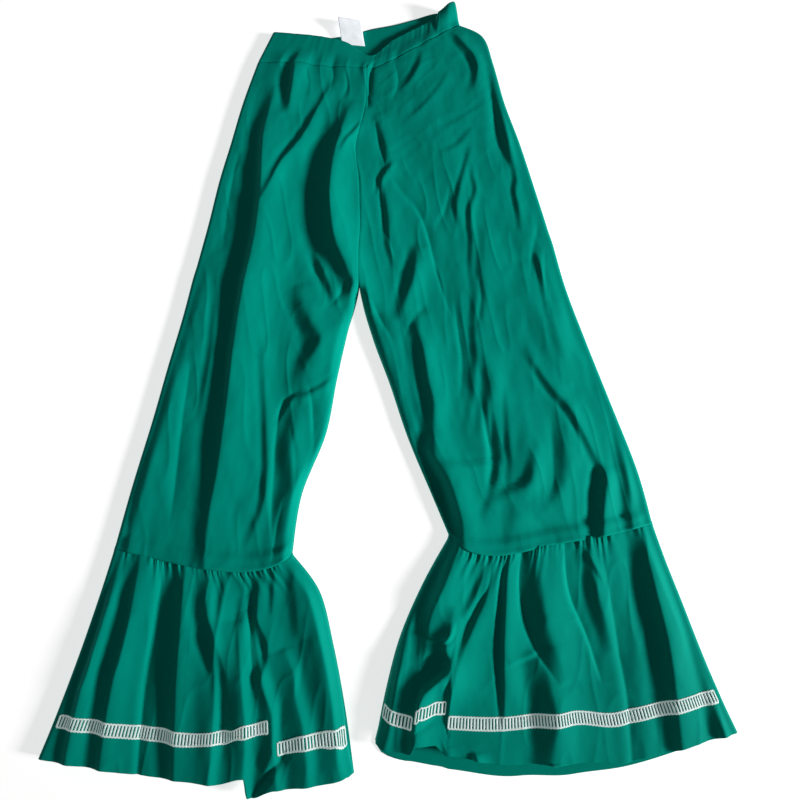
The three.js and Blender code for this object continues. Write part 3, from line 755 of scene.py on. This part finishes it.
def cloth_object(name, grid, closed=False):
    """Mesh of a grid of points (rows, columns, xyz in mm) with its cloth UV in metres."""
    rows, columns = grid.shape[:2]
    points = to_frame(grid)
    index = np.arange(rows * columns).reshape(rows, columns)
    if closed:
        index = np.concatenate([index, index[:, :1]], 1)
    quads = np.stack([index[:-1, :-1], index[1:, :-1], index[1:, 1:], index[:-1, 1:]], -1).reshape(-1, 4)
    mesh = bpy.data.meshes.new(name)
    mesh.vertices.add(rows * columns)
    mesh.vertices.foreach_set("co", points.reshape(-1))
    mesh.loops.add(quads.size)
    mesh.loops.foreach_set("vertex_index", quads.reshape(-1))
    mesh.polygons.add(len(quads))
    mesh.polygons.foreach_set("loop_start", np.arange(0, quads.size, 4))
    mesh.polygons.foreach_set("use_smooth", np.ones(len(quads), bool))
    mesh.update(calc_edges=True)
    wrap = np.concatenate([points, points[:, :1]], 1) if closed else points
    across = np.cumsum(np.linalg.norm(np.diff(wrap, axis=1), axis=2), 1)
    down = np.cumsum(np.linalg.norm(np.diff(wrap, axis=0), axis=2), 0)
    u = np.concatenate([np.zeros((rows, 1)), across], 1).mean(0)
    v = np.concatenate([np.zeros((1, wrap.shape[1])), down]).mean(1)
    corner = np.stack(np.broadcast_arrays(u, v[:, None]), -1)
    uv = np.stack([corner[:-1, :-1], corner[1:, :-1], corner[1:, 1:], corner[:-1, 1:]], -2)
    mesh.uv_layers.new(name="cloth").data.foreach_set("uv", uv.reshape(-1))
    return new_object(name, mesh)


def finish_piece(piece, material, nodes=(), wall=None):
    """Gives a piece its finish, a wall on its inner side and its place on the frame's one body."""
    piece.data.materials.append(material)
    if wall:
        solid = piece.modifiers.new("wall", "SOLIDIFY")
        solid.thickness = wall
        solid.offset = -1
    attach(piece, "root")
    if nodes:
        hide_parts(*nodes)
    return piece


def material_named(name, make):
    return bpy.data.materials.get(name) or make(bpy.context.scene.trousers_colours)


def seam_raise(across, x):
    """The left ruffle's seam bows up beyond its middle: 5 exp(-((across - 0.5) / 0.24)^2) mm."""
    return 5.0 * bell((across - 0.5) / 0.24) * ease(x / 20)


def uneven(ripples, x, y):
    """Sum of amount times noise over the ripples."""
    return sum(r.amount * lattice_noise(x + r.lean * y, y * r.stretch, r.size, r.seed) for r in ripples)


def crumple(across_grain, along_grain, size, seed):
    """Network of thin crests: (1 - |noise|)^4 on a lattice stretched along the grain."""
    return (1 - np.abs(lattice_noise(across_grain, along_grain * 0.3, size, seed))) ** 4


def leg_lift(down, across, x, y, length, mask):
    """Folds, small crumples, puckers under the waistband, the seam allowance, a rim at the ruffle seam.

    Crumples run down the legs, but slantwise over the wearer's left hip.
    """
    hip = ease((y - 130) / 60) * ease((x + 14) / 20)
    fine = (uneven(LEG_RIPPLES, x, y) + 0.45 * (1 - hip) * crumple(x + 0.15 * y, y, 12, 31)
            + 0.3 * hip * crumple(0.7 * (x - y), 0.7 * (x + y), 10, 32))
    phase = across * HALF_WAIST / PUCKER_SIZE + 3 * lattice_noise(x, 0 * y, 14, 11)
    pucker = PUCKER_RISE * np.cos(phase) * np.exp(-down * 26)
    to_seam = (1 - down) * LEG_RUN
    allowance = 1.1 * ease((ALLOWANCE - to_seam) / 2.5) - 1.0 * bell((to_seam - ALLOWANCE - 2) / 4)
    rim = 0.7 * bell((to_seam - 1.2) / 1.2)
    height = mask * (relief(LEG_FOLDS, x, y) + fine + pucker + allowance) + rim
    inset = across * length
    open_front = 1 - sewn_below(y)
    seam = -0.5 * bell(inset / 1.1) * open_front
    wander = sum(shift * bell((y - place) / reach) for shift, place, reach in WANDER)
    return (wander * np.exp(-inset / 11) * open_front, seam_raise(across, x) * ease((down - 0.85) / 0.15),
            height + seam)


def ruffle_lift(ruffle):
    """Waves that swell from seam to hem, gathers that fade below the seam, and the hem's steps."""
    def lift(down, across, x, y, length, mask):
        grain = across * 140
        phase = across * 130 + 4.6 * lattice_noise(grain, 0 * y, 11, 21)
        fade = ease(0.5 + 0.8 * lattice_noise(grain, 0 * y + 7, 8, 22))
        gather = fade * (0.5 * np.cos(phase / 0.55) * ease(1 - down / 0.09)
                         + 0.5 * np.cos(phase / 1.15) * ease(1 - down / 0.22))
        swell = (0.45 + 0.55 * ease(down / 0.3)) * relief(RUFFLE_WAVES, x, y)
        fine = uneven(RUFFLE_RIPPLES, x, y) + 0.4 * crumple(x - 0.1 * y, y, 12, 25)
        tuck = -0.9 * ease(1 - down / 0.02)
        height = mask * (gather + swell + fine) + 1.2 * down + tuck
        dy = (hem_shift(ruffle.hem, ruffle.lean, down, across) + 2.2 * ease(1 - down / 0.04)
              + seam_raise(across, x) * ease(1 - down / 0.3))
        return 0, dy, height
    return lift


def ruffle_back(ruffle):
    """The back's hem follows the front's sag, shifted as the hem table says."""
    def shift(down, across):
        inside = ease(across * 7) * ease((1 - across) * 7)
        sag = ruffle.sections[-1].sag * sagging(across)
        return ease(down) * (sag + along_hem(ruffle.hem, "back", across) * inside)
    return shift


def leg_back(down, across):
    """The back's waist seam climbs towards the centre back."""
    return BACK_RISE * (1 - across) * (1 - ease(down / 0.35))


def tube_piece(node, sections, sizes, lift, points, back):
    """A leg or a ruffle; the wearer's right ones run the other way round, so their grid is turned over."""
    grid = LaidTube(sections, sizes, lift).rows(*points, back)
    if node.endswith("right"):
        grid = grid[:, ::-1]
    piece = cloth_object(node + "_cloth", grid)
    return finish_piece(piece, material_named("green_jersey", jersey_finish), [node], sizes.wall)


class TROUSERS_OT_stage(bpy.types.Operator):
    """Pale floor, soft key light from the right, weak surrounding light and the camera"""

    bl_idname = "trousers.stage"
    bl_label = "Stage and Camera"

    def execute(self, context):
        scene = context.scene
        mesh = bpy.data.meshes.new("floor")
        corners = [(-1, -1), (1, -1), (1, 1), (-1, 1)]
        mesh.from_pydata([(x * FLOOR_HALF, y * FLOOR_HALF, -FLOOR_DROP) for x, y in corners], [],
                         [(0, 1, 2, 3)])
        mesh.materials.append(material_named("pale_floor", floor_finish))
        new_object("floor", mesh)

        self.key_light()
        world = scene.world or bpy.data.worlds.new("soft_room")
        scene.world = world
        world.use_nodes = True
        background = world.node_tree.nodes["Background"]
        background.inputs["Color"].default_value = (0.93, 0.97, 1.0, 1)
        background.inputs["Strength"].default_value = 0.1

        camera = bpy.data.cameras.new("photo_camera")
        camera.sensor_width = 36.0
        camera.lens = camera.sensor_width / 2 / math.tan(HALF_VIEW)
        camera.clip_start = 0.02
        holder = new_object("photo_camera", camera)
        holder.location = to_frame(np.array(EYE))
        holder.rotation_euler = (TILT, 0, 0)
        scene.camera = holder
        scene.view_settings.view_transform = "Standard"
        return {"FINISHED"}

    def key_light(self):
        light = bpy.data.lights.new("key", "AREA")
        light.size = 0.44
        light.energy = 3.6
        light.color = (1.0, 0.99, 0.97)
        light.spread = math.radians(36)
        holder = new_object("key", light)
        away = np.array(KEY_PLACE) - np.array(KEY_AIM)
        holder.location = KEY_PLACE
        holder.rotation_euler = (math.atan2(math.hypot(away[0], away[1]), away[2]), 0,
                                 math.atan2(away[0], -away[1]))


class TROUSERS_OT_legs(bpy.types.Operator):
    """Both legs, each one piece from centre front round the side to centre back"""

    bl_idname = "trousers.legs"
    bl_label = "Legs"

    def execute(self, context):
        sizes = context.scene.trousers_sizes
        for node, sections in (("leg_right", RIGHT_LEG), ("leg_left", LEFT_LEG)):
            piece = tube_piece(node, sections, sizes, leg_lift, LEG_POINTS, leg_back)
        return {"FINISHED"}


class TROUSERS_OT_ruffles(bpy.types.Operator):
    """Both gathered ruffles"""

    bl_idname = "trousers.ruffles"
    bl_label = "Ruffles"

    def execute(self, context):
        sizes = context.scene.trousers_sizes
        for ruffle in RUFFLES:
            piece = tube_piece("ruffle_" + ruffle.side, ruffle.sections, sizes, ruffle_lift(ruffle),
                               RUFFLE_POINTS, ruffle_back(ruffle))
        return {"FINISHED"}


class TROUSERS_OT_waistband(bpy.types.Operator):
    """Elastic waistband, one flattened loop that stands up at the wearer's left end"""

    bl_idname = "trousers.waistband"
    bl_label = "Waistband"

    def execute(self, context):
        sizes = context.scene.trousers_sizes
        piece = cloth_object("waistband_cloth", band_grid(sizes), closed=True)
        finish = material_named("green_jersey", jersey_finish)
        finish_piece(piece, finish, ["waistband"], sizes.band_wall)
        return {"FINISHED"}


def band_grid(sizes):
    """Loop of points: front across, round the wearer's left end, back under, round the right end."""
    tubes = [LaidTube(leg, sizes, leg_lift) for leg in (RIGHT_LEG, LEFT_LEG)]
    edge = sizes.edge / MM
    rows, front_count, roll_count, back_count = BAND_POINTS
    up = np.linspace(0, 1, rows)[:, None]

    def seam(along, back):
        across = np.abs(2 * along - 1)
        top = np.zeros_like(across)
        ends = [t.back(top, across, leg_back) if back else t.front(top, across) for t in tubes]
        return np.where((along < 0.5)[..., None], *ends)

    def surface(count, back):
        along = np.linspace(0, 1, count)[None, :]
        low = seam(along, back)
        top = through(BAND, along)
        inset = edge * (1 - 2 * along)
        tx, ty = (top[..., 2], top[..., 3]) if back else (top[..., 0], top[..., 1])
        x = low[..., 0] + (tx + inset - low[..., 0]) * up
        y = low[..., 1] + SEAM_GAP + (ty - low[..., 1] - SEAM_GAP) * up
        if back:
            return np.stack([x, y, np.zeros_like(x)], -1)
        near = ease(np.minimum(along, 1 - along) * 9)
        end = np.where(along < 0.5, 2 * edge, 2 * (edge + END_STAND * ease(up)))
        phase = 70 * along + 2.6 * np.sin(9 * along) + 1.5 * np.sin(23 * along)
        swell = 0.1 + 0.14 * ease((along - 0.72) / 0.12)
        ripple = swell * (np.cos(phase) + 0.6 * np.cos(2.3 * phase + 1)) * (0.35 + 0.65 * ease(up))
        high = end + (BAND_LEVEL + ripple - end) * near
        high = high - BAND_DIP * ease((along - 0.3) / 0.16) * ease((0.9 - along) / 0.1) * ease(up)
        flap = ease((along - FLAP_AT) / 0.02)
        y = y + FLAP_REACH * (1 + ease((along - 0.88) / 0.12)) * flap * up
        z = low[..., 2] + (high - low[..., 2]) * ease(up * 1.6) - SEAM_DENT * bell(up / 0.05)
        z = z + FLAP_STAND * flap * (1 - 0.7 * ease((along - 0.94) / 0.06)) * ease(up)
        return np.stack([x, y, z], -1)

    front = surface(front_count, False)
    back = surface(back_count, True)[:, ::-1]
    left_roll = rolled_edge(front[:, -1], front[:, -4], edge, roll_count)
    right_roll = rolled_edge(front[:, 0], front[:, 3], edge, roll_count)[:, ::-1]
    return np.concatenate([front, left_roll, back, right_roll], 1)[:, ::-1]


class TROUSERS_OT_label(bpy.types.Operator):
    """Blank care label that leans up from the inside of the back waistband"""

    bl_idname = "trousers.label"
    bl_label = "Label"

    def execute(self, context):
        sizes = context.scene.trousers_sizes
        across = np.linspace(0, 1, 22)[None, :]
        up = np.linspace(0, 1, 26)[:, None]
        x = LABEL_WIDTH * across + 0 * up
        y = LABEL_HEIGHT * up + 0 * across
        stand = LABEL_STAND + LABEL_BOW * np.sin(math.pi * across) + LABEL_TWIST * (1 - across)
        z = LABEL_FOOT + stand * up
        crease = LABEL_CREASE * bell((up + 0.2 * across - 0.8) / 0.1)
        z = z + (0.7 * lattice_noise(x + 0.5 * y, y, 6.5, 41) + crease) * ease(up * 3)
        grid = np.stack([LABEL_AT[0] + x - 0.16 * y, LABEL_AT[1] + y - 0.1 * x, z], -1)
        piece = cloth_object("label_slip", grid[:, ::-1])
        finish = material_named("white_label_ribbon", slip_finish)
        finish_piece(piece, finish, ["label"], sizes.slip_wall)
        return {"FINISHED"}


class TROUSERS_OT_hem_stitch(bpy.types.Operator):
    """White ladder stitch of both front hems"""

    bl_idname = "trousers.hem_stitch"
    bl_label = "Hem Ladder Stitch"

    def execute(self, context):
        sizes = context.scene.trousers_sizes
        finish = material_named("white_thread", thread_finish)
        for ruffle in RUFFLES:
            tube = LaidTube(ruffle.sections, sizes, ruffle_lift(ruffle))
            pieces = []
            for run in ruffle.stitch:
                pieces += [self.rungs(tube, sizes, run), self.rail(tube, sizes, run, -0.5),
                           self.rail(tube, sizes, run, 0.5)]
            piece = join_grids("hem_stitch_" + ruffle.side, pieces)
            finish_piece(piece, finish)
        return {"FINISHED"}

    def at(self, tube, sizes, across, offset):
        """Point and upward normal on the ruffle, offset mm up from the middle of the stitch."""
        down = 1 - (sizes.hem / MM + offset) / RUFFLE_DROP
        base = tube.front(down, across)
        step_a = tube.front(down, across + 0.002)
        step_d = tube.front(down - 0.01, across)
        normal = np.cross(step_a - base, step_d - base)
        normal /= np.linalg.norm(normal, axis=-1, keepdims=True)
        normal *= np.sign(normal[..., 2:])
        return base, normal

    def places(self, tube, sizes, run):
        """Fractions across at even distances along the hem's stitch line."""
        across = np.linspace(*run, 900)[None, :]
        line = self.at(tube, sizes, across, np.zeros_like(across))[0][0]
        far = np.concatenate([[0], np.cumsum(np.linalg.norm(np.diff(line, axis=0), axis=1))])
        count = int(far[-1] / (sizes.stitch_pitch / MM))
        return np.interp(np.linspace(0, far[-1], count), far, across[0]), far, across[0]

    def rungs(self, tube, sizes, run):
        """Short threads across the band: a low arch carried from rail to rail at each place."""
        places, _, _ = self.places(tube, sizes, run)
        along = np.linspace(-0.5, 0.5, 6)
        width = 0.31 * sizes.stitch_pitch / MM
        a, s, c = np.meshgrid(places, along, THREAD_SIDES, indexing="ij")
        base, normal = self.at(tube, sizes, a, s * sizes.stitch_width / MM)
        ahead, _ = self.at(tube, sizes, a + 0.002, s * sizes.stitch_width / MM)
        tangent = ahead - base
        tangent /= np.linalg.norm(tangent, axis=-1, keepdims=True)
        return list(base + tangent * (c * width)[..., None] + normal * thread_height(c, *RUNG))

    def rail(self, tube, sizes, run, place):
        """Thin thread along one side of the band, with a small dip between two rungs."""
        _, far, across = self.places(tube, sizes, run)
        dense = np.interp(np.arange(0, far[-1], RAIL_STEP), far, across)
        a, c = np.meshgrid(dense, THREAD_SIDES, indexing="ij")
        turns = np.arange(len(dense)) * RAIL_STEP / (sizes.stitch_pitch / MM)
        wave = 0.12 * np.cos(2 * math.pi * turns)[:, None]
        base, normal = self.at(tube, sizes, a, place * sizes.stitch_width / MM + c * 0.5 + wave)
        return [base + normal * thread_height(c, *RAIL)]


def thread_height(side, foot, rise):
    """foot + rise sqrt(1 - (0.9 side)^2)."""
    return (foot + rise * np.sqrt(1 - (0.9 * side) ** 2))[..., None]


def join_grids(name, groups):
    """One mesh of many small grids of points (mm), each shut underneath by its own lower edge."""
    points, faces, start = [], [], 0
    for group in groups:
        stack = np.stack(group)
        count, rows, columns = stack.shape[:3]
        index = np.arange(count * rows * columns).reshape(count, rows, columns) + start
        loop = np.concatenate([index, index[:, :, :1]], 2)
        quads = np.stack([loop[:, :-1, :-1], loop[:, :-1, 1:], loop[:, 1:, 1:], loop[:, 1:, :-1]], -1)
        caps = np.stack([index[:, 0, ::-1], index[:, -1, :]], 1)
        faces.append(quads.reshape(-1, 4))
        faces.append(caps.reshape(-1, 4))
        points.append(stack.reshape(-1, 3))
        start += count * rows * columns
    mesh = bpy.data.meshes.new(name)
    mesh.from_pydata(to_frame(np.concatenate(points)).tolist(), [], np.concatenate(faces).tolist())
    mesh.polygons.foreach_set("use_smooth", np.ones(len(mesh.polygons), bool))
    return new_object(name, mesh)


class TROUSERS_PT_panel(bpy.types.Panel):
    """Sizes, colours and the pieces' operators"""

    bl_idname = "TROUSERS_PT_panel"
    bl_label = "Ruffle Trousers"
    bl_space_type = "VIEW_3D"
    bl_region_type = "UI"
    bl_category = "Trousers"

    def draw(self, context):
        for group in (context.scene.trousers_sizes, context.scene.trousers_colours):
            box = self.layout.box()
            for name in group.__annotations__:
                box.prop(group, name)
        for operator in OPERATORS:
            self.layout.operator(operator.bl_idname)


OPERATORS = (
    TROUSERS_OT_stage,
    TROUSERS_OT_legs,
    TROUSERS_OT_ruffles,
    TROUSERS_OT_waistband,
    TROUSERS_OT_label,
    TROUSERS_OT_hem_stitch,
)
CLASSES = (TrousersSizes, TrousersColours, *OPERATORS, TROUSERS_PT_panel)


def register():
    for cls in CLASSES:
        bpy.utils.register_class(cls)
    bpy.types.Scene.trousers_sizes = bpy.props.PointerProperty(type=TrousersSizes)
    bpy.types.Scene.trousers_colours = bpy.props.PointerProperty(type=TrousersColours)


def unregister():
    del bpy.types.Scene.trousers_colours
    del bpy.types.Scene.trousers_sizes
    for cls in reversed(CLASSES):
        bpy.utils.unregister_class(cls)


def main():
    register()
    bpy.ops.trousers.stage()
    bpy.ops.trousers.legs()
    bpy.ops.trousers.ruffles()
    bpy.ops.trousers.waistband()
    bpy.ops.trousers.label()
    bpy.ops.trousers.hem_stitch()


if __name__ == "__main__":
    main()
